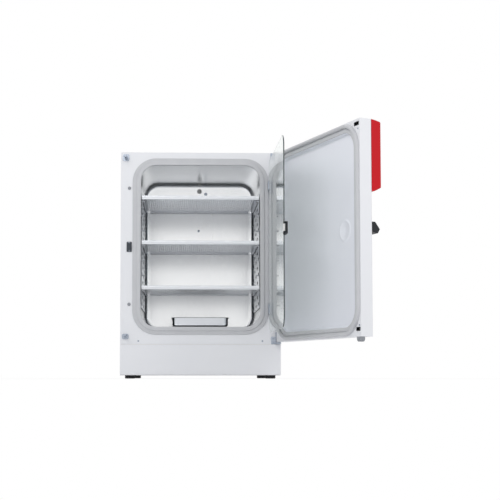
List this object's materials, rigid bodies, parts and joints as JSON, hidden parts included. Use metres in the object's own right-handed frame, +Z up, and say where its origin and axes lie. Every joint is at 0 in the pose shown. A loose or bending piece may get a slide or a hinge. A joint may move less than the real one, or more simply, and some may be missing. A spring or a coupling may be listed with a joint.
{
  "type": "carbon dioxide incubator",
  "caption": "Floor or bench incubator cabinet with an insulated outer door, an inner glass door, a stainless chamber, sliding shelves and a water pan.",
  "frame": {"origin": "on the floor, in the middle of the rectangle of the four feet", "axes": "+X to the right seen from the front, +Y to the back, +Z up"},
  "size_m": [1.0882, 1.395, 1.05],
  "materials": {
    "white_paint": "semi-gloss",
    "black_rubber": "matte",
    "stainless": "satin",
    "support_foam": "matte",
    "foam": "matte",
    "heater_mat": "matte",
    "grey_rubber": "matte",
    "white_plastic": "matte",
    "aluminium": "satin",
    "circuit_board": "matte",
    "brass": "satin",
    "silicone": "satin",
    "black_plastic": "matte",
    "grey_plastic": "matte",
    "red_plastic": "gloss",
    "display_pane": "gloss",
    "key_plastic": "matte",
    "clear_glass": "polished"
  },
  "bodies": {
    "cabinet": {"housing_shell": "white_paint", "front_frame": "white_paint", "base_panel": "white_paint", "rear_panel": "white_paint", "bottom_plate": "white_paint", "deck_plate": "white_paint", "feet": "black_rubber", "chamber": "stainless", "chamber_cradles": "support_foam", "chamber_insulation": "foam", "chamber_heater": "heater_mat", "frame_gasket": "grey_rubber", "hinge_bracket_lower": "stainless", "hinge_bracket_upper": "stainless", "glass_hinge_brackets": "stainless", "latch_striker_top": "stainless", "latch_striker_bottom": "stainless", "glass_keeper": "stainless", "frame_bumpers": "grey_rubber", "frame_screws": "stainless", "rack_left": "stainless", "rack_right": "stainless", "co2_sensor": "white_plastic", "gas_nozzle": "stainless", "temperature_probe": "stainless", "power_supply": "aluminium", "control_board": "circuit_board", "gas_valve": "brass", "gas_tube": "silicone", "gas_fitting": "brass", "mains_inlet": "black_plastic"},
    "switch": {"main_switch": "black_plastic"},
    "outer_door": {"door_shell": "white_paint", "door_insulation": "foam", "door_liner": "stainless", "door_gasket": "grey_rubber", "control_housing": "red_plastic", "display_window": "display_pane", "handle_base": "black_plastic", "slot_bezels": "black_plastic", "door_screws": "stainless", "door_guide_shoe": "grey_plastic", "door_bushes": "black_plastic"},
    "handle": {"handle_lever": "black_plastic", "spindle_cam": "stainless"},
    "latch_upper": {"latch_rod_upper": "stainless"},
    "latch_lower": {"latch_rod_lower": "stainless"},
    "glass_door": {"glass_pane": "clear_glass", "glass_clips": "stainless", "glass_catch": "black_plastic", "catch_roller": "white_plastic"},
    "shelf_upper_body": {"shelf_upper": "stainless"},
    "shelf_middle_body": {"shelf_middle": "stainless"},
    "shelf_lower_body": {"shelf_lower": "stainless"},
    "pan": {"water_pan": "stainless"},
    "key_1_body": {"key_1": "key_plastic"},
    "key_2_body": {"key_2": "key_plastic"},
    "key_3_body": {"key_3": "key_plastic"},
    "key_4_body": {"key_4": "key_plastic"}
  },
  "joints": [
    {"name": "door_swing", "type": "hinge", "parent": "cabinet", "child": "outer_door", "pos_m": [0.361, -0.354, 0.6], "axis": [0, 0, 1], "range_deg": [-112, 18]},
    {"name": "glass_swing", "type": "hinge", "parent": "cabinet", "child": "glass_door", "pos_m": [0.32, -0.345, 0.6], "axis": [0, 0, 1], "range_deg": [-91.31, 15]},
    {"name": "handle_turn", "type": "hinge", "parent": "outer_door", "child": "handle", "pos_m": [0.67402, -0.97927, 0.607], "axis": [-0.9272, -0.3746, 0], "range_deg": [0, 60]},
    {"name": "latch_upper_slide", "type": "slide", "parent": "outer_door", "child": "latch_upper", "axis": [0, 0, 1], "range_m": [0, 0.0105]},
    {"name": "latch_lower_slide", "type": "slide", "parent": "outer_door", "child": "latch_lower", "axis": [0, 0, -1], "range_m": [0, 0.0105]},
    {"name": "shelf_upper_slide", "type": "slide", "parent": "cabinet", "child": "shelf_upper_body", "axis": [0, -1, 0], "range_m": [0, 0.36]},
    {"name": "shelf_middle_slide", "type": "slide", "parent": "cabinet", "child": "shelf_middle_body", "axis": [0, -1, 0], "range_m": [0, 0.36]},
    {"name": "shelf_lower_slide", "type": "slide", "parent": "cabinet", "child": "shelf_lower_body", "axis": [0, -1, 0], "range_m": [0, 0.36]},
    {"name": "pan_slide", "type": "slide", "parent": "cabinet", "child": "pan", "axis": [0, -1, 0], "range_m": [0, 0.28]},
    {"name": "switch_rock", "type": "hinge", "parent": "cabinet", "child": "switch", "pos_m": [-0.21, 0.327, 0.09], "axis": [1, 0, 0], "range_deg": [0, 16]},
    {"name": "key_1_press", "type": "slide", "parent": "outer_door", "child": "key_1_body", "axis": [-0.9272, -0.3746, 0], "range_m": [0, 0.0012], "stiffness_N_per_m": 200},
    {"name": "key_2_press", "type": "slide", "parent": "outer_door", "child": "key_2_body", "axis": [-0.9272, -0.3746, 0], "range_m": [0, 0.0012], "stiffness_N_per_m": 200},
    {"name": "key_3_press", "type": "slide", "parent": "outer_door", "child": "key_3_body", "axis": [-0.9272, -0.3746, 0], "range_m": [0, 0.0012], "stiffness_N_per_m": 200},
    {"name": "key_4_press", "type": "slide", "parent": "outer_door", "child": "key_4_body", "axis": [-0.9272, -0.3746, 0], "range_m": [0, 0.0012], "stiffness_N_per_m": 200}
  ],
  "couplings": [
    {"joint": "glass_swing", "follows": "door_swing", "ratio": 0.81518},
    {"joint": "latch_upper_slide", "follows": "handle_turn", "m_per_rad": 0.009924},
    {"joint": "latch_lower_slide", "follows": "handle_turn", "m_per_rad": 0.009924}
  ]
}
